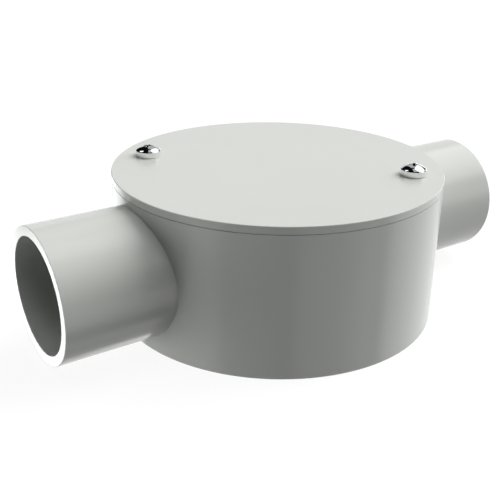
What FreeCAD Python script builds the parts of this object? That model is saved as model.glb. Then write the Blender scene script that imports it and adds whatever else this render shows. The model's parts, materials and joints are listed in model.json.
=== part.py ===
# Two-way conduit junction box, moulded in uPVC: a drum with two conduit sockets in line,
# a flat lid, the two raised-head screws that hold it and the brass inserts they turn in.
# Millimetres. +Z is up through the lid, +X runs along the conduit, and the origin is the
# centre of the drum's underside.

import FreeCAD
import Part
import os
from FreeCAD import Vector

# Conduit sockets
CONDUIT_DIAMETER = 32.0
CONDUIT_WALL = 2.0
SOCKET_CLEARANCE = 0.15
SOCKET_WALL = 2.85
SOCKET_DEPTH = 26.6
STOP_OFFSET = 1.0
MOUTH_CHAMFER = 0.15
SPIGOT_EDGE = 0.1
FLARE_DEPTH = 0.9
FLARE_WIDTH = 2.0

# Drum
DRUM_DIAMETER = 98.0
DRUM_WALL = 2.5
DRUM_FLOOR = 2.5
SOCKET_LAND = 1.75
FLOOR_CHAMFER = 1.2
BASE_EDGE = 0.15

# Lid
LID_THICKNESS = 2.3
LID_EDGE = 0.12
SEAM_GAP = 0.15
SEAM_DEPTH = 0.6
LIP_DEPTH = 2.2
LIP_WALL = 1.8
LIP_CLEARANCE = 0.25
LIP_LEAD_IN = 0.4
NOTCH_CLEARANCE = 0.4
LID_HOLE_CLEARANCE = 0.3

# Lid screws, M4 with a raised cheese head and a cross recess
SCREW_INSET = 9.0
SCREW_BEARING_DEG = 135.0
THREAD_DIAMETER = 3.9
SCREW_LENGTH = 16.0
TIP_CHAMFER = 0.5
HEAD_DIAMETER = 7.6
HEAD_RIM = 1.85
HEAD_CROWN = 1.4
HEAD_EDGE = 0.12
RECESS_DIAMETER = 3.0
RECESS_WING = 0.75
RECESS_DEPTH = 1.6
RECESS_FLOOR_DIAMETER = 1.1

# Brass inserts and the pillars that hold them
INSERT_DIAMETER = 5.6
INSERT_LENGTH = 8.0
INSERT_CHAMFER = 0.3
INSERT_GROOVE_WIDTH = 1.4
INSERT_GROOVE_DEPTH = 0.45
THREAD_CLEARANCE = 0.05
PILLAR_WALL = 2.2
TIP_CLEARANCE = 2.0
PILOT_CLEARANCE = 0.35

# Fixing holes through the floor
FIXING_CIRCLE = 50.8
FIXING_BEARING_DEG = 45.0
FIXING_HOLE = 5.0
FIXING_PAD_WALL = 3.0
FIXING_PAD_HEIGHT = 1.0

# Overshoot of a cutting tool past the face that it leaves
OVERCUT = 1.0

# Sizes that follow from the ones above
DRUM_RADIUS = DRUM_DIAMETER / 2
CAVITY_RADIUS = DRUM_RADIUS - DRUM_WALL
SOCKET_RADIUS = CONDUIT_DIAMETER / 2 + SOCKET_CLEARANCE
SPIGOT_RADIUS = SOCKET_RADIUS + SOCKET_WALL
CABLE_WAY_RADIUS = CONDUIT_DIAMETER / 2 - CONDUIT_WALL
STOP_REACH = DRUM_RADIUS + STOP_OFFSET
SPIGOT_REACH = STOP_REACH + SOCKET_DEPTH
SOCKET_HEIGHT = SPIGOT_RADIUS + SOCKET_LAND
RIM_HEIGHT = 2 * SOCKET_HEIGHT
LID_TOP = RIM_HEIGHT + LID_THICKNESS
SCREW_RADIUS = DRUM_RADIUS - SCREW_INSET
PILLAR_RADIUS = INSERT_DIAMETER / 2 + PILLAR_WALL
THREAD_RADIUS = THREAD_DIAMETER / 2
HALF_TURN = 180
FULL_TURN = 360
SCREW_BEARINGS = {"left": SCREW_BEARING_DEG, "right": SCREW_BEARING_DEG + HALF_TURN}
FIXING_BEARINGS = (FIXING_BEARING_DEG, FIXING_BEARING_DEG + HALF_TURN)

UP = Vector(0, 0, 1)
ALONG = Vector(1, 0, 0)
CENTRE = Vector(0, 0, 0)


def turned(points, axis=UP):
    """Solid of revolution about the axis from a closed outline of (x, z) points in the XZ plane."""
    corners = [Vector(x, 0, z) for x, z in points]
    face = Part.Face(Part.makePolygon([*corners, corners[0]]))
    return face.revolve(CENTRE, axis, FULL_TURN)


def turned_on_conduit(points):
    """Solid of revolution about the conduit's axis from an outline of (x, radius) points."""
    solid = turned(points, ALONG)
    solid.translate(UP * SOCKET_HEIGHT)
    return solid


def at_bearing(solid, bearing):
    """The solid turned about the drum's axis, to a bearing from +X."""
    moved = solid.copy()
    moved.rotate(CENTRE, UP, bearing)
    return moved


def at_screw(solid, bearing):
    """A solid made on the Z axis, moved to the screw at that bearing."""
    moved = solid.copy()
    moved.translate(ALONG * SCREW_RADIUS)
    return at_bearing(moved, bearing)


def pillar_prism(clearance, low, high):
    """Prism of the screw pillar's plan: a round nose with straight sides out into the drum's wall."""
    half_width = PILLAR_RADIUS + clearance
    root = DRUM_RADIUS - DRUM_WALL / 2
    near_side = Vector(SCREW_RADIUS, -half_width, low)
    far_side = Vector(SCREW_RADIUS, half_width, low)
    tip = Vector(SCREW_RADIUS - half_width, 0, low)
    nose = Part.Arc(far_side, tip, near_side).toShape()
    sides = Part.makePolygon(
        [near_side, Vector(root, -half_width, low), Vector(root, half_width, low), far_side]
    )
    plan = Part.Face(Part.Wire([nose, *sides.Edges]))
    return plan.extrude(UP * (high - low))


def outer_form():
    """Outside of the moulding: the drum, with a spigot out of each side of it."""
    drum = turned(
        [
            (0, 0),
            (DRUM_RADIUS - BASE_EDGE, 0),
            (DRUM_RADIUS, BASE_EDGE),
            (DRUM_RADIUS, RIM_HEIGHT),
            (0, RIM_HEIGHT),
        ]
    )
    spigots = turned_on_conduit(
        [
            (-SPIGOT_REACH, 0),
            (-SPIGOT_REACH, SPIGOT_RADIUS - SPIGOT_EDGE),
            (-SPIGOT_REACH + SPIGOT_EDGE, SPIGOT_RADIUS),
            (SPIGOT_REACH - SPIGOT_EDGE, SPIGOT_RADIUS),
            (SPIGOT_REACH, SPIGOT_RADIUS - SPIGOT_EDGE),
            (SPIGOT_REACH, 0),
        ]
    )
    return drum.fuse(spigots)


def cavity():
    """The space inside the drum, open at the rim."""
    return turned(
        [
            (0, DRUM_FLOOR),
            (CAVITY_RADIUS - FLOOR_CHAMFER, DRUM_FLOOR),
            (CAVITY_RADIUS, DRUM_FLOOR + FLOOR_CHAMFER),
            (CAVITY_RADIUS, RIM_HEIGHT + OVERCUT),
            (0, RIM_HEIGHT + OVERCUT),
        ]
    )


def conduit_way():
    """The way through both spigots: mouth, socket, stop, and a cable way that flares into the drum."""
    flare_start = CAVITY_RADIUS + FLARE_DEPTH
    half = [
        (flare_start - FLARE_WIDTH, CABLE_WAY_RADIUS + FLARE_WIDTH),
        (flare_start, CABLE_WAY_RADIUS),
        (STOP_REACH, CABLE_WAY_RADIUS),
        (STOP_REACH, SOCKET_RADIUS),
        (SPIGOT_REACH - MOUTH_CHAMFER, SOCKET_RADIUS),
        (SPIGOT_REACH, SOCKET_RADIUS + MOUTH_CHAMFER),
        (SPIGOT_REACH + OVERCUT, SOCKET_RADIUS + MOUTH_CHAMFER),
        (SPIGOT_REACH + OVERCUT, 0),
    ]
    other_half = [(-x, radius) for x, radius in reversed(half)]
    return turned_on_conduit(other_half + half)


def insert_hole():
    """Blind hole down a pillar: the insert's seat, then room for the screw's tip."""
    tip_depth = SCREW_LENGTH - LID_THICKNESS + TIP_CLEARANCE
    seat_floor = RIM_HEIGHT - INSERT_LENGTH
    seat = Part.makeCylinder(INSERT_DIAMETER / 2, INSERT_LENGTH + OVERCUT, UP * seat_floor)
    pilot_floor = RIM_HEIGHT - tip_depth
    pilot = Part.makeCylinder(THREAD_RADIUS + PILOT_CLEARANCE, tip_depth, UP * pilot_floor)
    return seat.fuse(pilot)


def fixing_pad():
    """Raised pad round a floor fixing hole, rooted in the floor, at its radius on +X."""
    radius = FIXING_HOLE / 2 + FIXING_PAD_WALL
    root = DRUM_FLOOR / 2
    return Part.makeCylinder(radius, root + FIXING_PAD_HEIGHT, Vector(FIXING_CIRCLE / 2, 0, root))


def fixing_hole():
    """Cutter for a floor fixing hole, at its radius on +X."""
    depth = DRUM_FLOOR + FIXING_PAD_HEIGHT + 2 * OVERCUT
    return Part.makeCylinder(FIXING_HOLE / 2, depth, Vector(FIXING_CIRCLE / 2, 0, -OVERCUT))


def box_body():
    """The moulding: hollow drum, sockets, screw pillars and floor fixing pads, in one piece."""
    body = outer_form().cut(cavity()).cut(conduit_way())
    pillar = pillar_prism(0, DRUM_FLOOR / 2, RIM_HEIGHT)
    for bearing in SCREW_BEARINGS.values():
        body = body.fuse(at_bearing(pillar, bearing))
        body = body.cut(at_screw(insert_hole(), bearing))
    for bearing in FIXING_BEARINGS:
        body = body.fuse(at_bearing(fixing_pad(), bearing))
        body = body.cut(at_bearing(fixing_hole(), bearing))
    return body.removeSplitter()


def lid():
    """Flat disc with a locating lip, notched round the pillars, and a shadow gap above the drum's rim."""
    lip_radius = CAVITY_RADIUS - LIP_CLEARANCE
    lip_bottom = RIM_HEIGHT - LIP_DEPTH
    disc = turned(
        [
            (0, RIM_HEIGHT),
            (lip_radius - LIP_WALL, RIM_HEIGHT),
            (lip_radius - LIP_WALL, lip_bottom),
            (lip_radius - LIP_LEAD_IN, lip_bottom),
            (lip_radius, lip_bottom + LIP_LEAD_IN),
            (lip_radius, RIM_HEIGHT),
            (DRUM_RADIUS - SEAM_DEPTH, RIM_HEIGHT),
            (DRUM_RADIUS - SEAM_DEPTH, RIM_HEIGHT + SEAM_GAP),
            (DRUM_RADIUS, RIM_HEIGHT + SEAM_GAP),
            (DRUM_RADIUS, LID_TOP - LID_EDGE),
            (DRUM_RADIUS - LID_EDGE, LID_TOP),
            (0, LID_TOP),
        ]
    )
    notch = pillar_prism(NOTCH_CLEARANCE, lip_bottom - OVERCUT, RIM_HEIGHT)
    hole_radius = THREAD_RADIUS + LID_HOLE_CLEARANCE
    hole = Part.makeCylinder(hole_radius, LID_THICKNESS + 2 * OVERCUT, UP * (RIM_HEIGHT - OVERCUT))
    for bearing in SCREW_BEARINGS.values():
        disc = disc.cut(at_bearing(notch, bearing))
        disc = disc.cut(at_screw(hole, bearing))
    return disc


def cross_recess(crown):
    """Cross-shaped driving recess below the crown's height: two crossed blades, tapered by a cone."""
    floor_height = crown - RECESS_DEPTH
    depth = RECESS_DEPTH + OVERCUT
    floor_radius = RECESS_FLOOR_DIAMETER / 2
    taper = (RECESS_DIAMETER / 2 - floor_radius) / RECESS_DEPTH
    mouth_radius = floor_radius + taper * depth
    cone = Part.makeCone(floor_radius, mouth_radius, depth, UP * floor_height)
    corner = Vector(-mouth_radius, -RECESS_WING / 2, floor_height)
    blade = Part.makeBox(2 * mouth_radius, RECESS_WING, depth, corner)
    crossing = at_bearing(blade, HALF_TURN / 2)
    return cone.common(blade.fuse(crossing))


def lid_screw():
    """Screw on the Z axis: a crowned cheese head on the lid, and a shank of the thread's size."""
    tip = LID_TOP - SCREW_LENGTH
    rim_top = LID_TOP + HEAD_RIM
    crown = rim_top + HEAD_CROWN
    head_radius = HEAD_DIAMETER / 2
    crown_sphere = (head_radius**2 + HEAD_CROWN**2) / (2 * HEAD_CROWN)
    half_way = head_radius / 2
    half_way_height = crown - crown_sphere + (crown_sphere**2 - half_way**2) ** 0.5
    profile = [
        Vector(head_radius, 0, rim_top),
        Vector(head_radius, 0, LID_TOP + HEAD_EDGE),
        Vector(head_radius - HEAD_EDGE, 0, LID_TOP),
        Vector(THREAD_RADIUS, 0, LID_TOP),
        Vector(THREAD_RADIUS, 0, tip + TIP_CHAMFER),
        Vector(THREAD_RADIUS - TIP_CHAMFER, 0, tip),
        Vector(0, 0, tip),
        Vector(0, 0, crown),
    ]
    dome = Part.Arc(profile[-1], Vector(half_way, 0, half_way_height), profile[0]).toShape()
    face = Part.Face(Part.Wire([*Part.makePolygon(profile).Edges, dome]))
    return face.revolve(CENTRE, UP, FULL_TURN).cut(cross_recess(crown))


def brass_insert():
    """Threaded insert on the Z axis, flush with the drum's rim, waisted so that the plastic holds it."""
    outer = INSERT_DIAMETER / 2
    bore = THREAD_RADIUS + THREAD_CLEARANCE
    low = RIM_HEIGHT - INSERT_LENGTH
    waist = outer - INSERT_GROOVE_DEPTH
    waist_low = RIM_HEIGHT - (INSERT_LENGTH + INSERT_GROOVE_WIDTH) / 2
    waist_high = waist_low + INSERT_GROOVE_WIDTH
    return turned(
        [
            (bore, low),
            (outer - INSERT_CHAMFER, low),
            (outer, low + INSERT_CHAMFER),
            (outer, waist_low),
            (waist, waist_low),
            (waist, waist_high),
            (outer, waist_high),
            (outer, RIM_HEIGHT),
            (bore + INSERT_CHAMFER, RIM_HEIGHT),
            (bore, RIM_HEIGHT - INSERT_CHAMFER),
        ]
    )


def main():
    pieces = {"box_body": box_body(), "lid": lid()}
    for side, bearing in SCREW_BEARINGS.items():
        pieces[f"lid_screw_{side}"] = at_screw(lid_screw(), bearing)
        pieces[f"brass_insert_{side}"] = at_screw(brass_insert(), bearing)
    os.makedirs("parts", exist_ok=True)
    for name, piece in pieces.items():
        piece.exportStep(os.path.join("parts", name + ".step"))
        print(f"{name}: {len(piece.Solids)} solid, {piece.Volume:.1f} mm3, valid {piece.isValid()}")


main()
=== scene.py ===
"""Looks of a round conduit junction box: moulded finish, plated screws, brass inserts and a white stage.

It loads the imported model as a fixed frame, dresses every piece of it and sets the photograph's view.
"""

import json
import math
from typing import NamedTuple

import bpy
import numpy as np
from mathutils import Matrix, Vector


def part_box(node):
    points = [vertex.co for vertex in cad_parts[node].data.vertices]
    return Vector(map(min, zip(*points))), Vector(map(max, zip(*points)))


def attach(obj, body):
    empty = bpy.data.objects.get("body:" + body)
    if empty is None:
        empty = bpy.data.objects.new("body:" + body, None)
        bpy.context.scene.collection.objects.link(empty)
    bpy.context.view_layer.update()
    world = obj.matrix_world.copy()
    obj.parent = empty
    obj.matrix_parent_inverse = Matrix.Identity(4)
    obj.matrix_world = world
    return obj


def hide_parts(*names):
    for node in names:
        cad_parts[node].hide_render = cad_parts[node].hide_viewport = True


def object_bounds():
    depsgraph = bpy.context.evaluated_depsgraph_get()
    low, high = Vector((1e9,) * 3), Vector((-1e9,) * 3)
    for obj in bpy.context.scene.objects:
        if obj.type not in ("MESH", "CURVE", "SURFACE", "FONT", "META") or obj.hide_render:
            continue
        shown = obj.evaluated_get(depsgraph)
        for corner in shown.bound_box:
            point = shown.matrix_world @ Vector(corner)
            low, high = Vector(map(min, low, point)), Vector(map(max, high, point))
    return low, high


bl_info = {
    "name": "Conduit junction box looks",
    "version": (1, 0, 0),
    "blender": (4, 5, 0),
    "location": "3D View > Sidebar > Junction box",
    "description": "Finishes a packed conduit junction box and sets a white stage around it",
    "category": "Object",
}

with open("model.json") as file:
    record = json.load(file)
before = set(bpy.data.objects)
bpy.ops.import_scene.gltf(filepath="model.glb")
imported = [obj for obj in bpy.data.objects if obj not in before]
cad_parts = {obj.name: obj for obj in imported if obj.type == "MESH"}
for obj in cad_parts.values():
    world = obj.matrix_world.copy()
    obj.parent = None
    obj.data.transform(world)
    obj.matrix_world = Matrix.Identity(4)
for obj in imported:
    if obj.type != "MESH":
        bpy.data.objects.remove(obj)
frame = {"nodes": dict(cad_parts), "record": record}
CAD_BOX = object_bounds()

MM = 0.001
RECORD = frame["record"]
BODY_OF = {node: body for body, nodes in RECORD["behaviour"]["bodies"].items() for node in nodes}
MOULDINGS = ("box_body", "lid")
SCREWS = ("lid_screw_left", "lid_screw_right")
INSERTS = ("brass_insert_left", "brass_insert_right")
AXIS_PLACE = "axis_place"
SHARP_ANGLE = math.radians(38)
TINY = 1e-9


# Settings that a user would change


class MouldingSettings(bpy.types.PropertyGroup):
    """Finish of the drum and the lid."""

    colour: bpy.props.FloatVectorProperty(
        name="Colour", description="Colour of the grey moulding compound",
        subtype="COLOR", size=3, min=0, max=1, default=(0.585, 0.602, 0.572))
    shade_range: bpy.props.FloatProperty(
        name="Shade range", description="How far the compound's shade drifts across a moulding",
        subtype="FACTOR", min=0, max=0.2, default=0.025)
    roughness: bpy.props.FloatProperty(
        name="Roughness", description="Roughness of the polished mould's finish",
        subtype="FACTOR", min=0, max=1, default=0.2)
    grain_size: bpy.props.FloatProperty(
        name="Grain size", description="Size of the mould's fine grain",
        unit="LENGTH", min=0, default=0.35 * MM)
    grain_height: bpy.props.FloatProperty(
        name="Grain height", description="Height of the mould's fine grain",
        unit="LENGTH", min=0, default=0.003 * MM)


class ScrewSettings(bpy.types.PropertyGroup):
    """Form and plating of the lid screws."""

    rim_height: bpy.props.FloatProperty(
        name="Rim height", description="Height of the head's upright rim",
        unit="LENGTH", min=0, default=1.85 * MM)
    crown_height: bpy.props.FloatProperty(
        name="Crown height", description="Height of the head's crown above its rim",
        unit="LENGTH", min=0, default=1.4 * MM)
    edge_radius: bpy.props.FloatProperty(
        name="Edge radius", description="Rounding of the recess's lip and under the head",
        unit="LENGTH", min=0, default=0.1 * MM)
    crown_chamfer: bpy.props.FloatProperty(
        name="Crown chamfer", description="Width of the chamfer round the foot of the head's crown",
        unit="LENGTH", min=0, default=0.2 * MM)
    seat_radius: bpy.props.FloatProperty(
        name="Seat radius", description="Rounding of the rim's lower edge, on the lid",
        unit="LENGTH", min=0, default=0.25 * MM)
    recess_reach: bpy.props.FloatProperty(
        name="Recess reach", description="Distance from the axis to the end of the cross recess's wing",
        unit="LENGTH", min=0, default=1.5 * MM)
    recess_wing: bpy.props.FloatProperty(
        name="Recess wing", description="Width of the cross recess's wing",
        unit="LENGTH", min=0, default=0.75 * MM)
    recess_depth: bpy.props.FloatProperty(
        name="Recess depth", description="Depth of the cross recess under the crown",
        unit="LENGTH", min=0, default=1.6 * MM)
    recess_floor: bpy.props.FloatProperty(
        name="Recess floor", description="Size of the recess's floor as a share of its mouth",
        subtype="FACTOR", min=0, max=1, default=0.35)
    thread_radius: bpy.props.FloatProperty(
        name="Thread radius", description="Radius over the thread's crests",
        unit="LENGTH", min=0, default=1.95 * MM)
    thread_pitch: bpy.props.FloatProperty(
        name="Thread pitch", description="Rise of the thread in one turn",
        unit="LENGTH", min=0, default=0.7 * MM)
    neck_length: bpy.props.FloatProperty(
        name="Neck length", description="Plain length between the head and the thread",
        unit="LENGTH", min=0, default=1.2 * MM)
    colour: bpy.props.FloatVectorProperty(
        name="Colour", description="Colour of the bright plating",
        subtype="COLOR", size=3, min=0, max=1, default=(0.90, 0.90, 0.91))
    roughness: bpy.props.FloatProperty(
        name="Roughness", description="Roughness of the bright plating",
        subtype="FACTOR", min=0, max=1, default=0.02)


class InsertSettings(bpy.types.PropertyGroup):
    """Form and finish of the brass inserts."""

    bore_radius: bpy.props.FloatProperty(
        name="Bore radius", description="Radius inside the thread's crests",
        unit="LENGTH", min=0, default=2.0 * MM)
    edge_chamfer: bpy.props.FloatProperty(
        name="Edge chamfer", description="Chamfer of the insert's edges",
        unit="LENGTH", min=0, default=0.3 * MM)
    thread_pitch: bpy.props.FloatProperty(
        name="Thread pitch", description="Rise of the thread in one turn",
        unit="LENGTH", min=0, default=0.7 * MM)
    thread_depth: bpy.props.FloatProperty(
        name="Thread depth", description="Depth of the thread cut into the bore",
        unit="LENGTH", min=0, default=0.3 * MM)
    knurl_count: bpy.props.IntProperty(
        name="Knurl count", description="Ridges of the diamond knurl round the insert",
        min=6, default=20)
    knurl_depth: bpy.props.FloatProperty(
        name="Knurl depth", description="Depth of the diamond knurl",
        unit="LENGTH", min=0, default=0.18 * MM)
    groove_width: bpy.props.FloatProperty(
        name="Groove width", description="Width of the waist groove that the plastic grips",
        unit="LENGTH", min=0, default=1.4 * MM)
    groove_depth: bpy.props.FloatProperty(
        name="Groove depth", description="Depth of the waist groove",
        unit="LENGTH", min=0, default=0.45 * MM)
    colour: bpy.props.FloatVectorProperty(
        name="Colour", description="Colour of the turned brass",
        subtype="COLOR", size=3, min=0, max=1, default=(0.80, 0.58, 0.27))
    roughness: bpy.props.FloatProperty(
        name="Roughness", description="Roughness of the turned brass",
        subtype="FACTOR", min=0, max=1, default=0.28)


class StageSettings(bpy.types.PropertyGroup):
    """Camera, floor and light."""

    camera_place: bpy.props.FloatVectorProperty(
        name="Camera place", description="Where the camera stands",
        subtype="TRANSLATION", size=3, default=(-136.2 * MM, -184.63 * MM, 117.5 * MM))
    camera_aim: bpy.props.FloatVectorProperty(
        name="Camera aim", description="Point in the middle of the view",
        subtype="TRANSLATION", size=3, default=(-9.18 * MM, 0, 17.93 * MM))
    camera_roll: bpy.props.FloatProperty(
        name="Camera roll",
        description="Turn of the camera about its view, anticlockwise seen from behind it",
        subtype="ANGLE", default=math.radians(0.917))
    lens: bpy.props.FloatProperty(
        name="Lens", description="Focal length in millimetres on a 36 mm sensor", min=1, default=57.57)
    floor_radius: bpy.props.FloatProperty(
        name="Floor radius", description="Radius of the round floor",
        unit="LENGTH", min=0, default=4.0)
    floor_colour: bpy.props.FloatVectorProperty(
        name="Floor colour", description="Colour of the floor that is darkened by the shadow",
        subtype="COLOR", size=3, min=0, max=1, default=(0.12, 0.12, 0.12))
    floor_white: bpy.props.FloatProperty(
        name="Floor white", description="White that the floor has of its own where it is seen",
        min=0, max=1, default=0.91)
    ambient: bpy.props.FloatProperty(
        name="Ambient", description="Strength of the even light from all round", min=0, default=0.003)


class JunctionBoxSettings(bpy.types.PropertyGroup):
    """All settings of the junction box's looks."""

    moulding: bpy.props.PointerProperty(type=MouldingSettings)
    screw: bpy.props.PointerProperty(type=ScrewSettings)
    insert: bpy.props.PointerProperty(type=InsertSettings)
    stage: bpy.props.PointerProperty(type=StageSettings)


# Meshes from rings


def rows_of(*values):
    """Values as rows of one column, to spread over the angles."""
    return np.array(values)[:, None]


def ring_points(angles, profile, centre):
    """Points of stacked rings: each is (radius cos a, radius sin a, height) about an axis at centre.

    The profile is stretches of (radius, height), each with one row a ring,
    and with one column or one for each angle.
    It returns the points from the axis, and the same points in place."""
    spread_out = [np.broadcast_arrays(radius, height, angles[None, :])[:2] for radius, height in profile]
    radius = np.concatenate([stretch[0] for stretch in spread_out])
    height = np.concatenate([stretch[1] for stretch in spread_out])
    local = np.stack([radius * np.cos(angles), radius * np.sin(angles), height], axis=-1)
    return local, local + np.array([centre[0], centre[1], 0.0])


def ring_quads(upper, lower):
    """Faces of four corners between rings and the rings that follow them, all the way round the axis."""
    quads = np.stack([upper, lower, np.roll(lower, -1, axis=1), np.roll(upper, -1, axis=1)], axis=-1)
    return quads.reshape(-1, 4).tolist()


def ring_mesh(name, local, points, closed):
    """A smooth mesh over a grid of rings. The rings close round the axis.

    With closed, the last ring joins the first, as on a tube bent into a loop.
    Otherwise a fan of triangles closes the first and the last ring at the middle."""
    rows, columns = points.shape[:2]
    index = np.arange(rows * columns).reshape(rows, columns)
    upper = index if closed else index[:-1]
    lower = np.roll(index, -1, axis=0) if closed else index[1:]
    faces = ring_quads(upper, lower)
    corners, places = points.reshape(-1, 3), local.reshape(-1, 3)
    if not closed:
        ends = points[[0, -1]].mean(axis=1)
        corners = np.concatenate([corners, ends])
        places = np.concatenate([places, local[[0, -1]].mean(axis=1)])
        first, last = index[0], index[-1]
        top = np.stack([np.full(columns, rows * columns), first, np.roll(first, -1)], axis=-1)
        end = np.stack([np.full(columns, rows * columns + 1), np.roll(last, -1), last], axis=-1)
        faces += top.tolist() + end.tolist()
    mesh = bpy.data.meshes.new(name)
    mesh.from_pydata(corners.tolist(), [], faces)
    mesh.attributes.new(AXIS_PLACE, "FLOAT_VECTOR", "POINT").data.foreach_set(
        "vector", places.astype(np.float32).ravel())
    mesh.polygons.foreach_set("use_smooth", np.ones(len(mesh.polygons), dtype=bool))
    mesh.set_sharp_from_angle(angle=SHARP_ANGLE)
    mesh.update()
    if mesh.validate():
        raise RuntimeError(f"{name} has faces that don't hold")
    return mesh


def show_in_place_of(node, name, mesh, material):
    """Puts a mesh into the scene in a node's place, on the node's body and with its slot."""
    piece = bpy.data.objects.new(name, mesh)
    bpy.context.scene.collection.objects.link(piece)
    mesh.materials.append(material)
    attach(piece, BODY_OF[node])
    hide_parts(node)


ROOT_FLAT = 1 / 4
CREST_FLAT = 1 / 8
ROWS_PER_TURN = 14


def tooth(phase):
    """Height of a 60 degree thread over its turn: 0 on the root's flat, and 1 on the crest's, half way.

    Each flank is a straight line between the flats, whose widths are shares of the pitch."""
    from_crest = np.abs(np.mod(phase, 1.0) - 0.5)
    flank_foot, flank_top = (1 - ROOT_FLAT) / 2, CREST_FLAT / 2
    return np.clip((flank_foot - from_crest) / (flank_foot - flank_top), 0, 1)


# Screws


WING_END_STEPS = 4
WING_SIDE_STEPS = 8
FLOOR_SHARES = (0.3, 0.65, 1.0)  # of the recess's floor: where its rings lie
WALL_START = 0.15  # of the recess's wall: height of its lowest ring
WALL_RINGS = 4
CROWN_RINGS = 10
CHAMFER_SHARES = (0.1, 0.9, 1.0)  # of the crown's chamfer: where its rings lie
SEAT_RINGS = 6
LIP_SHARE = 0.4  # of the edge's radius: how far the recess's lip is rounded
DIP_SHARE = 0.3  # of half a wing's width: how far the recess's floor dips towards the axis
CHAMFER_FALL = 1.2  # fall of the crown's chamfer for its width
THREAD_SHARE = 0.541  # of the pitch: depth of an outer thread
TIP_SHARE = 0.3  # of the thread's depth: how far the tip lies inside the root


def cross_columns(reach, half_width):
    """Angles of a cross outline's points: a few on half a wing's end, then even steps along its side.

    The steps mirrored make a quadrant, and the quadrant turned three times makes the rest."""
    corner = math.asin(half_width / reach)
    end = np.linspace(0, corner, WING_END_STEPS, endpoint=False)
    along = np.linspace(reach * math.cos(corner), half_width, WING_SIDE_STEPS)
    side = np.arctan2(half_width, along)
    octant = np.concatenate([end, side])
    quadrant = np.concatenate([octant, math.pi / 2 - octant[-2:0:-1]])
    return (quadrant + np.arange(4)[:, None] * math.pi / 2).ravel()


def cross_radius(angles, reach, half_width):
    """Distance from the axis to a cross's outline: half a wing's width over the sine, up to a reach."""
    along_x = half_width / np.maximum(np.abs(np.sin(angles)), TINY)
    along_y = half_width / np.maximum(np.abs(np.cos(angles)), TINY)
    return np.maximum(np.minimum(reach, along_x), np.minimum(reach, along_y))


def screw_mesh(node, settings):
    """A raised-head screw as rings from the recess's floor outwards and down to the tip.

    The crown is a ball's cap, and a steep chamfer takes it down to the rim.
    The rings on it go from the cross outline to the chamfer's circle.
    The shank's radius is the root's plus the tooth's height, whose phase is height over pitch less turn.
    A cone of half a right angle takes the thread off at the tip."""
    low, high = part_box(node)
    centre = ((low.x + high.x) / 2, (low.y + high.y) / 2)
    bearing = math.atan2(centre[1], centre[0])
    head, seat, tip = (high.x - low.x) / 2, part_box("lid")[1].z, low.z
    edge, crown = settings.edge_radius, settings.crown_height
    rim_top = seat + settings.rim_height
    ball = (head ** 2 + crown ** 2) / (2 * crown)
    half_wing = settings.recess_wing / 2
    angles = cross_columns(settings.recess_reach, half_wing)
    mouth = cross_radius(angles, settings.recess_reach, half_wing)

    def cap(radius):
        """Height of the crown at a distance from the axis."""
        return rim_top + crown - ball + np.sqrt(ball ** 2 - radius ** 2)

    floor = rim_top + crown - settings.recess_depth
    lip = LIP_SHARE * edge
    outward = rows_of(*FLOOR_SHARES)
    climb = np.linspace(WALL_START, 1, WALL_RINGS)[:, None]
    across = np.linspace(0, 1, CROWN_RINGS)[:, None]
    bend = np.linspace(0, math.pi / 2, SEAT_RINGS)[:, None]
    wall_share = settings.recess_floor + (1 - settings.recess_floor) * climb
    foot = head - settings.crown_chamfer
    crown_radius = mouth + lip + (foot - mouth - lip) * across
    chamfer = settings.crown_chamfer * rows_of(*CHAMFER_SHARES)
    round_off = settings.seat_radius
    profile = [
        (settings.recess_floor * mouth * outward, floor - DIP_SHARE * half_wing * (1 - outward)),
        (mouth * wall_share, floor + (cap(mouth) - lip - floor) * climb),
        (crown_radius, cap(crown_radius)),
        (foot + chamfer, cap(foot) - CHAMFER_FALL * chamfer),
        (head - round_off + round_off * np.cos(bend), seat + round_off - round_off * np.sin(bend)),
    ]
    pitch = settings.thread_pitch
    depth = THREAD_SHARE * pitch
    root = settings.thread_radius - depth
    start = seat - settings.neck_length
    profile.append((rows_of(settings.thread_radius, root), rows_of(seat, seat - edge)))
    rows = round((start - tip) / pitch * ROWS_PER_TURN)
    height = np.linspace(start, tip, rows)[:, None]
    run_in = np.clip((start - height) / pitch, 0, 1)
    cut = root + depth * run_in * tooth(height / pitch - angles / (2 * math.pi))
    tip_cone = root - TIP_SHARE * depth + (height - tip)
    profile.append((np.minimum(cut, tip_cone), height))
    local, points = ring_points(angles + bearing, profile, centre)
    return ring_mesh(node, local, points, closed=False)


# Inserts


COLUMNS_PER_RIDGE = 6
BARREL_ROWS = 60
LAND_SHARE = 0.1  # of the chamfer: how far the end faces stop short of the thread


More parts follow.
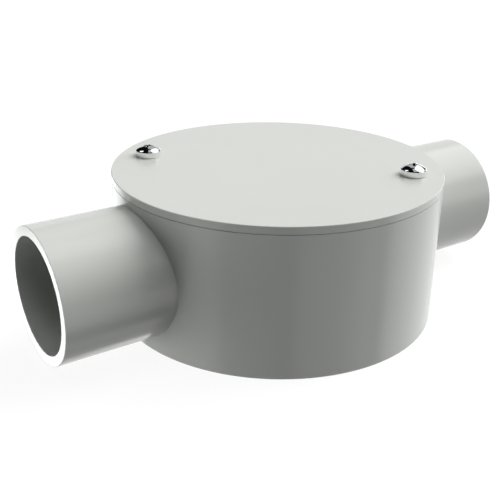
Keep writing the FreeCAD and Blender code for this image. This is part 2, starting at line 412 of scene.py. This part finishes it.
def insert_mesh(node, settings):
    """A threaded insert as one closed loop of rings: over the top, down the knurl and up the bore.

    The knurl is the higher of two families of ridges that climb opposite ways round the barrel.
    The bore's thread is cut outwards from the bore's radius:
    its depth there is the whole depth times 1 less the tooth's height."""
    low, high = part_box(node)
    centre = ((low.x + high.x) / 2, (low.y + high.y) / 2)
    outer, bore, chamfer = (high.x - low.x) / 2, settings.bore_radius, settings.edge_chamfer
    angles = np.linspace(0, 2 * math.pi, COLUMNS_PER_RIDGE * settings.knurl_count, endpoint=False)
    turn = angles / (2 * math.pi)

    barrel = np.linspace(high.z - chamfer, low.z + chamfer, BARREL_ROWS)[:, None]
    ridge = 2 * math.pi * outer / settings.knurl_count
    climbing = np.abs(np.mod(turn * settings.knurl_count + barrel / ridge, 1) - 0.5) * 2
    falling = np.abs(np.mod(turn * settings.knurl_count - barrel / ridge, 1) - 0.5) * 2
    knurl = settings.knurl_depth * (1 - np.maximum(climbing, falling))
    from_waist = np.abs(barrel - (low.z + high.z) / 2)
    waist = np.where(from_waist < settings.groove_width / 2, settings.groove_depth, 0)
    barrel_radius = outer - np.maximum(knurl, waist)

    pitch = settings.thread_pitch
    rows = round((high.z - low.z - 2 * chamfer) / pitch * ROWS_PER_TURN)
    thread = np.linspace(low.z + chamfer, high.z - chamfer, rows)[:, None]
    bore_radius = bore + settings.thread_depth * (1 - tooth(thread / pitch - turn))

    wide = bore + settings.thread_depth + LAND_SHARE * chamfer
    face = outer - chamfer
    profile = [
        (rows_of(wide, face), rows_of(high.z, high.z)),
        (barrel_radius, barrel),
        (rows_of(face, wide), rows_of(low.z, low.z)),
        (bore_radius, thread),
    ]
    local, points = ring_points(angles, profile, centre)
    return ring_mesh(node, local, points, closed=True)


# Shader nodes


def add_node(tree, kind, inputs=None, **settings):
    """Adds a node to a tree. An input that is given a socket is linked to it. Other values are set."""
    made = tree.nodes.new(kind)
    for key, value in settings.items():
        setattr(made, key, value)
    for key, value in (inputs or {}).items():
        if isinstance(value, bpy.types.NodeSocket):
            tree.links.new(value, made.inputs[key])
        else:
            made.inputs[key].default_value = value
    return made


def calculate(tree, operation, *values):
    """The result of a Math node on values that are sockets or numbers."""
    return add_node(tree, "ShaderNodeMath", dict(enumerate(values)), operation=operation).outputs[0]


def noise(tree, place, scale, layers):
    """Noise from 0 to 1 over a place, with finer layers laid over its scale."""
    made = add_node(tree, "ShaderNodeTexNoise", {"Vector": place, "Scale": scale, "Detail": layers})
    return made.outputs["Fac"]


def new_group(name, inputs, outputs):
    """An empty shader group with named sockets: its tree, its inputs' sockets and its output node."""
    tree = bpy.data.node_groups.new(name, "ShaderNodeTree")
    for label, kind in inputs:
        tree.interface.new_socket(label, in_out="INPUT", socket_type=kind)
    for label, kind in outputs:
        tree.interface.new_socket(label, in_out="OUTPUT", socket_type=kind)
    return tree, tree.nodes.new("NodeGroupInput").outputs, tree.nodes.new("NodeGroupOutput")


def fine_grain_group():
    """Fine grain of a polished tool: two noises, the second three times finer and half as high."""
    tree, given, out = new_group(
        "fine_grain", [("Vector", "NodeSocketVector"), ("Size", "NodeSocketFloat")],
        [("Height", "NodeSocketFloat")])
    scale = calculate(tree, "DIVIDE", 1.0, given["Size"])
    broad = noise(tree, given["Vector"], scale, 1.0)
    fine = noise(tree, given["Vector"], calculate(tree, "MULTIPLY", scale, 3.0), 1.0)
    tree.links.new(calculate(tree, "MULTIPLY_ADD", fine, 0.5, broad), out.inputs["Height"])
    return tree


def drift_group():
    """Slow drift of a shade or a gloss over a surface: a broad noise's middle, stretched to 0 to 1."""
    tree, given, out = new_group(
        "drift", [("Vector", "NodeSocketVector"), ("Size", "NodeSocketFloat")],
        [("Mask", "NodeSocketFloat")])
    broad = noise(tree, given["Vector"], calculate(tree, "DIVIDE", 1.0, given["Size"]), 3.0)
    mask = add_node(tree, "ShaderNodeMapRange", {"Value": broad, "From Min": 0.3, "From Max": 0.7})
    tree.links.new(mask.outputs["Result"], out.inputs["Mask"])
    return tree


def turning_marks_group():
    """Rings that a turning tool leaves: a sine of distance from the axis plus height, over a spacing."""
    tree, given, out = new_group(
        "turning_marks", [("Vector", "NodeSocketVector"), ("Spacing", "NodeSocketFloat")],
        [("Height", "NodeSocketFloat")])
    split = add_node(tree, "ShaderNodeSeparateXYZ", {0: given["Vector"]})
    flat = add_node(tree, "ShaderNodeCombineXYZ", {"X": split.outputs["X"], "Y": split.outputs["Y"]})
    radius = add_node(tree, "ShaderNodeVectorMath", {0: flat.outputs[0]}, operation="LENGTH")
    along = calculate(tree, "ADD", radius.outputs["Value"], split.outputs["Z"])
    turns = calculate(tree, "DIVIDE", along, given["Spacing"])
    wave = calculate(tree, "SINE", calculate(tree, "MULTIPLY", turns, 2 * math.pi))
    tree.links.new(calculate(tree, "MULTIPLY_ADD", wave, 0.5, 0.5), out.inputs["Height"])
    return tree


def shared_group(make):
    """The group that a function makes, made once and then used again."""
    name = make.__name__.removesuffix("_group")
    return bpy.data.node_groups.get(name) or make()


def use_group(tree, make, inputs):
    """Places a shared group in a material with values of its own."""
    return add_node(tree, "ShaderNodeGroup", inputs, node_tree=shared_group(make))


def new_material(name):
    """A material with its tree and its Principled shader."""
    material = bpy.data.materials.new(name)
    material.use_nodes = True
    return material, material.node_tree, material.node_tree.nodes["Principled BSDF"]


def vary(tree, mask, middle, reach):
    """A value that a mask takes from its middle less a reach to its middle plus the reach."""
    made = add_node(tree, "ShaderNodeMapRange",
                    {"Value": mask, "To Min": middle - reach, "To Max": middle + reach})
    return made.outputs["Result"]


def shade(tree, mask, colour, share):
    """A colour that a mask darkens and lightens by a share."""
    darker = [c * (1 - share) for c in colour]
    lighter = [min(1, c * (1 + share)) for c in colour]
    mix = add_node(tree, "ShaderNodeMix", {0: mask, 6: (*darker, 1), 7: (*lighter, 1)}, data_type="RGBA")
    return mix.outputs[2]


def finish_skin(tree, skin, colour, roughness, height, distance):
    """Gives a shader its colour and roughness, and the bump of a height from 0 to 1 times a distance."""
    bump = add_node(tree, "ShaderNodeBump", {"Height": height, "Distance": distance})
    tree.links.new(colour, skin.inputs["Base Color"])
    tree.links.new(roughness, skin.inputs["Roughness"])
    tree.links.new(bump.outputs["Normal"], skin.inputs["Normal"])


SHADE_PATCH = 45 * MM
GLOSS_PATCH = 9 * MM
GLOSS_REACH = 0.02
PLASTIC_IOR = 1.47


def moulding_material(settings):
    """Grey moulded plastic: satin, with a fine grain, a slow drift of shade and an uneven gloss."""
    material, tree, skin = new_material("grey_moulding")
    place = add_node(tree, "ShaderNodeTexCoord").outputs["Object"]
    cloud = use_group(tree, drift_group, {"Vector": place, "Size": SHADE_PATCH}).outputs["Mask"]
    gloss = use_group(tree, drift_group, {"Vector": place, "Size": GLOSS_PATCH}).outputs["Mask"]
    grain = use_group(tree, fine_grain_group, {"Vector": place, "Size": settings.grain_size})
    finish_skin(tree, skin, shade(tree, cloud, settings.colour, settings.shade_range / 2),
                vary(tree, gloss, settings.roughness, GLOSS_REACH),
                grain.outputs["Height"], settings.grain_height)
    skin.inputs["IOR"].default_value = PLASTIC_IOR
    return material


class TurnedFinish(NamedTuple):
    """Marks on a turned metal: patches of duller metal, and rings from the tool."""

    patch_size: float
    shade_share: float
    gloss_reach: float
    ring_spacing: float
    ring_height: float


PLATING = TurnedFinish(patch_size=1.5 * MM, shade_share=0.02, gloss_reach=0.006,
                       ring_spacing=0.18 * MM, ring_height=0.0002 * MM)
BRASS = TurnedFinish(patch_size=2 * MM, shade_share=0.06, gloss_reach=0.08,
                     ring_spacing=0.12 * MM, ring_height=0.002 * MM)


def turned_material(name, settings, finish):
    """Turned metal: its patches change shade and gloss together, and its rings are a bump."""
    material, tree, skin = new_material(name)
    place = add_node(tree, "ShaderNodeAttribute", attribute_name=AXIS_PLACE).outputs["Vector"]
    dull = use_group(tree, drift_group, {"Vector": place, "Size": finish.patch_size}).outputs["Mask"]
    rings = use_group(tree, turning_marks_group, {"Vector": place, "Spacing": finish.ring_spacing})
    finish_skin(tree, skin, shade(tree, dull, settings.colour, finish.shade_share),
                vary(tree, dull, settings.roughness, finish.gloss_reach),
                rings.outputs["Height"], finish.ring_height)
    skin.inputs["Metallic"].default_value = 1
    return material


# Stage


class LightPanel(NamedTuple):
    """A lit part of the studio round the object, by its middle, its spread in degrees and its strength.

    Azimuth 0 is in front of the object and 90 is on its right. The light fades out over the edge."""

    azimuth: float
    elevation: float
    width: float
    height: float
    level: float
    edge: float = 4


LIGHT_PANELS = {
    "window": LightPanel(86, 51, 68, 38, 1.4, 6),
    "window_front": LightPanel(40, 42, 24, 30, 0.8, 6),
    "window_sill": LightPanel(75, 10, 60, 12, 1.2, 5),
    "back_wall": LightPanel(142, 5, 48, 30, 0.66, 7),
    "back_wall_top": LightPanel(136, 44, 34, 34, 0.42),
    "right_ceiling": LightPanel(60, 82, 176, 16, 0.45),
    "back_low": LightPanel(147, -18, 34, 20, 0.5, 8),
    "back_floor": LightPanel(152, -48, 44, 22, 1.1, 8),
    "back_left_box": LightPanel(-143, 53, 22, 16, 1.7),
    "left_strip": LightPanel(-105, -3, 26, 14, 4.7),
    "left_below": LightPanel(-105, -36, 50, 44, 0.95, 12),
    "back_left_below": LightPanel(-162, -31, 28, 14, 4.0),
    "back_below": LightPanel(181, -16, 26, 20, 2.3),
    "right_below": LightPanel(92, -30, 80, 56, 1.05, 12),
    "front_below": LightPanel(8, -24, 44, 18, 0.9, 12),
    "underneath": LightPanel(0, -90, 360, 50, 0.3, 10),
}


class SoftLamp(NamedTuple):
    """A round lamp that lights the surfaces and isn't mirrored in them.

    It stands at an azimuth and an elevation as a panel does. Its width is in degrees too."""

    azimuth: float
    elevation: float
    width: float
    level: float


SOFT_LAMPS = {
    "ceiling_lamp": SoftLamp(0, 80, 44, 1.95),
    "right_lamp": SoftLamp(90, 40, 52, 4.8),
}
LAMP_DISTANCE = 20.0


def panel_group():
    """Share of a panel in one direction: 1 within half its spread of its middle, and 0 past its edge."""
    tree, given, out = new_group(
        "panel", [(label, "NodeSocketFloat") for label in
                  ("Azimuth", "Elevation", "Middle", "Height", "Half Width", "Half Height", "Edge")],
        [("Mask", "NodeSocketFloat")])

    def inside(offset, half):
        """1 where an offset is less than half the spread, fading to 0 over the edge."""
        away = calculate(tree, "ABSOLUTE", offset)
        limit = calculate(tree, "ADD", half, given["Edge"])
        return add_node(tree, "ShaderNodeMapRange", {"Value": away, "From Min": limit, "From Max": half},
                        interpolation_type="SMOOTHSTEP").outputs["Result"]

    turn = calculate(tree, "SUBTRACT", given["Azimuth"], given["Middle"])
    nearest = calculate(tree, "WRAP", turn, math.pi, -math.pi)
    rise = calculate(tree, "SUBTRACT", given["Elevation"], given["Height"])
    across = inside(nearest, given["Half Width"])
    upright = inside(rise, given["Half Height"])
    tree.links.new(calculate(tree, "MULTIPLY", across, upright), out.inputs["Mask"])
    return tree


FLOOR_COLUMNS = 96
FLOOR_RINGS = (0.02, 0.2, 1.0)  # of the floor's radius
FLOOR_GAP = 0.02 * MM


def floor_material(settings):
    """White floor: a matt surface that holds the shadow, with its own white added."""
    material, _, skin = new_material("white_floor")
    skin.inputs["Base Color"].default_value = (*settings.floor_colour, 1)
    skin.inputs["Roughness"].default_value = 1
    skin.inputs["Specular IOR Level"].default_value = 0
    skin.inputs["Emission Color"].default_value = (1, 1, 1, 1)
    skin.inputs["Emission Strength"].default_value = settings.floor_white
    return material


def set_floor(settings):
    """A round floor just under the box, as flat rings and a disc in their middle.

    Only the camera sees it, so light reaches the box from below as well."""
    angles = np.linspace(0, 2 * math.pi, FLOOR_COLUMNS, endpoint=False)
    radius = settings.floor_radius * rows_of(*FLOOR_RINGS)
    points = ring_points(angles, [(radius, rows_of(CAD_BOX[0].z - FLOOR_GAP))], (0, 0))[1]
    index = np.arange(points[..., 0].size).reshape(points.shape[:2])
    faces = ring_quads(index[:-1], index[1:]) + [index[0].tolist()]
    mesh = bpy.data.meshes.new("floor")
    mesh.from_pydata(points.reshape(-1, 3).tolist(), [], faces)
    floor = bpy.data.objects.new("floor", mesh)
    bpy.context.scene.collection.objects.link(floor)
    mesh.materials.append(floor_material(settings))
    floor.visible_diffuse = floor.visible_glossy = False
    floor.visible_transmission = floor.visible_shadow = False


def set_world(settings):
    """A dark studio with lit panels all round, which is plain white where the camera sees it."""
    world = bpy.data.worlds.new("white_studio")
    world.use_nodes = True
    tree = world.node_tree
    direction = add_node(tree, "ShaderNodeTexCoord").outputs["Generated"]
    ahead = add_node(tree, "ShaderNodeSeparateXYZ", {0: direction})
    front = calculate(tree, "MULTIPLY", ahead.outputs["Y"], -1.0)
    azimuth = calculate(tree, "ARCTAN2", ahead.outputs["X"], front)
    elevation = calculate(tree, "ARCSINE", ahead.outputs["Z"])
    strength = settings.ambient
    for name, panel in LIGHT_PANELS.items():
        mask = use_group(tree, panel_group, {
            "Azimuth": azimuth, "Elevation": elevation,
            "Middle": math.radians(panel.azimuth), "Height": math.radians(panel.elevation),
            "Half Width": math.radians(panel.width / 2), "Half Height": math.radians(panel.height / 2),
            "Edge": math.radians(panel.edge)})
        mask.label = name
        strength = calculate(tree, "MULTIPLY_ADD", mask.outputs["Mask"], panel.level, strength)
    seen = add_node(tree, "ShaderNodeLightPath").outputs["Is Camera Ray"]
    white = add_node(tree, "ShaderNodeMix", {0: seen, 2: strength, 3: 1.0})
    tree.links.new(white.outputs[0], tree.nodes["Background"].inputs["Strength"])
    tree.nodes["Background"].inputs["Color"].default_value = (1, 1, 1, 1)
    bpy.context.scene.world = world


def set_lamps():
    """Round lamps that face the box's middle. A disc's power is its level times pi times its area."""
    middle = (CAD_BOX[0] + CAD_BOX[1]) / 2
    for name, lamp in SOFT_LAMPS.items():
        azimuth, elevation = math.radians(lamp.azimuth), math.radians(lamp.elevation)
        towards = Vector((math.sin(azimuth) * math.cos(elevation),
                          -math.cos(azimuth) * math.cos(elevation), math.sin(elevation)))
        radius = LAMP_DISTANCE * math.tan(math.radians(lamp.width / 2))
        data = bpy.data.lights.new(name, "AREA")
        data.shape = "DISK"
        data.size = 2 * radius
        data.energy = lamp.level * math.pi * math.pi * radius ** 2
        made = bpy.data.objects.new(name, data)
        made.matrix_world = (Matrix.Translation(middle + LAMP_DISTANCE * towards)
                             @ towards.to_track_quat("Z", "Y").to_matrix().to_4x4())
        made.visible_glossy = made.visible_camera = False
        bpy.context.scene.collection.objects.link(made)


SENSOR_WIDTH = 36
CLIP_NEAR, CLIP_FAR = 1 * MM, 100


def set_camera(settings):
    """The photograph's camera: it looks from its place to its aim and is rolled about that line."""
    data = bpy.data.cameras.new("camera")
    data.sensor_width = SENSOR_WIDTH
    data.lens = settings.lens
    data.clip_start, data.clip_end = CLIP_NEAR, CLIP_FAR
    camera = bpy.data.objects.new("camera", data)
    ahead = Vector(settings.camera_aim) - Vector(settings.camera_place)
    turn = ahead.to_track_quat("-Z", "Y").to_matrix() @ Matrix.Rotation(settings.camera_roll, 3, "Z")
    camera.matrix_world = Matrix.Translation(settings.camera_place) @ turn.to_4x4()
    bpy.context.scene.collection.objects.link(camera)
    bpy.context.scene.camera = camera


# Operators and panel


class FinishMouldings(bpy.types.Operator):
    """Give the drum and the lid their moulded finish"""

    bl_idname = "junction_box.finish_mouldings"
    bl_label = "Finish mouldings"

    def execute(self, context):
        """Puts one moulding material on both nodes."""
        material = moulding_material(context.scene.junction_box.moulding)
        for node in MOULDINGS:
            mesh = frame["nodes"][node].data
            mesh.materials.clear()
            mesh.materials.append(material)
        return {"FINISHED"}


class BuildScrews(bpy.types.Operator):
    """Build the plated lid screws with their threads"""

    bl_idname = "junction_box.build_screws"
    bl_label = "Build screws"

    def execute(self, context):
        """Makes each screw in its node's place."""
        settings = context.scene.junction_box.screw
        material = turned_material("bright_plating", settings, PLATING)
        for node in SCREWS:
            show_in_place_of(node, f"{node}_plated", screw_mesh(node, settings), material)
        return {"FINISHED"}


class BuildInserts(bpy.types.Operator):
    """Build the knurled brass inserts"""

    bl_idname = "junction_box.build_inserts"
    bl_label = "Build inserts"

    def execute(self, context):
        """Makes each insert in its node's place."""
        settings = context.scene.junction_box.insert
        material = turned_material("turned_brass", settings, BRASS)
        for node in INSERTS:
            show_in_place_of(node, f"{node}_knurled", insert_mesh(node, settings), material)
        return {"FINISHED"}


class SetStage(bpy.types.Operator):
    """Set the floor, the studio round it, the lamps and the camera"""

    bl_idname = "junction_box.set_stage"
    bl_label = "Set stage"

    def execute(self, context):
        """Makes the stage and sets the scene's camera."""
        settings = context.scene.junction_box.stage
        set_floor(settings)
        set_world(settings)
        set_lamps()
        set_camera(settings)
        context.scene.view_settings.view_transform = "Standard"
        return {"FINISHED"}


class JunctionBoxPanel(bpy.types.Panel):
    """The junction box's operators and settings"""

    bl_idname = "VIEW3D_PT_junction_box"
    bl_label = "Junction box"
    bl_space_type = "VIEW_3D"
    bl_region_type = "UI"
    bl_category = "Junction box"

    def draw(self, context):
        """Lists each operator above the settings that it reads."""
        settings = context.scene.junction_box
        for operator, group in ((FinishMouldings, settings.moulding), (BuildScrews, settings.screw),
                                (BuildInserts, settings.insert), (SetStage, settings.stage)):
            box = self.layout.box()
            box.operator(operator.bl_idname)
            for key in group.__annotations__:
                box.prop(group, key)


CLASSES = (MouldingSettings, ScrewSettings, InsertSettings, StageSettings, JunctionBoxSettings,
           FinishMouldings, BuildScrews, BuildInserts, SetStage, JunctionBoxPanel)


def register():
    """Registers the classes and puts the settings on the scene."""
    for cls in CLASSES:
        bpy.utils.register_class(cls)
    bpy.types.Scene.junction_box = bpy.props.PointerProperty(type=JunctionBoxSettings)


def unregister():
    """Takes the settings and the classes away again."""
    del bpy.types.Scene.junction_box
    for cls in reversed(CLASSES):
        bpy.utils.unregister_class(cls)


def main():
    """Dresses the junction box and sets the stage."""
    register()
    bpy.ops.junction_box.finish_mouldings()
    bpy.ops.junction_box.build_screws()
    bpy.ops.junction_box.build_inserts()
    bpy.ops.junction_box.set_stage()


if __name__ == "__main__":
    main()
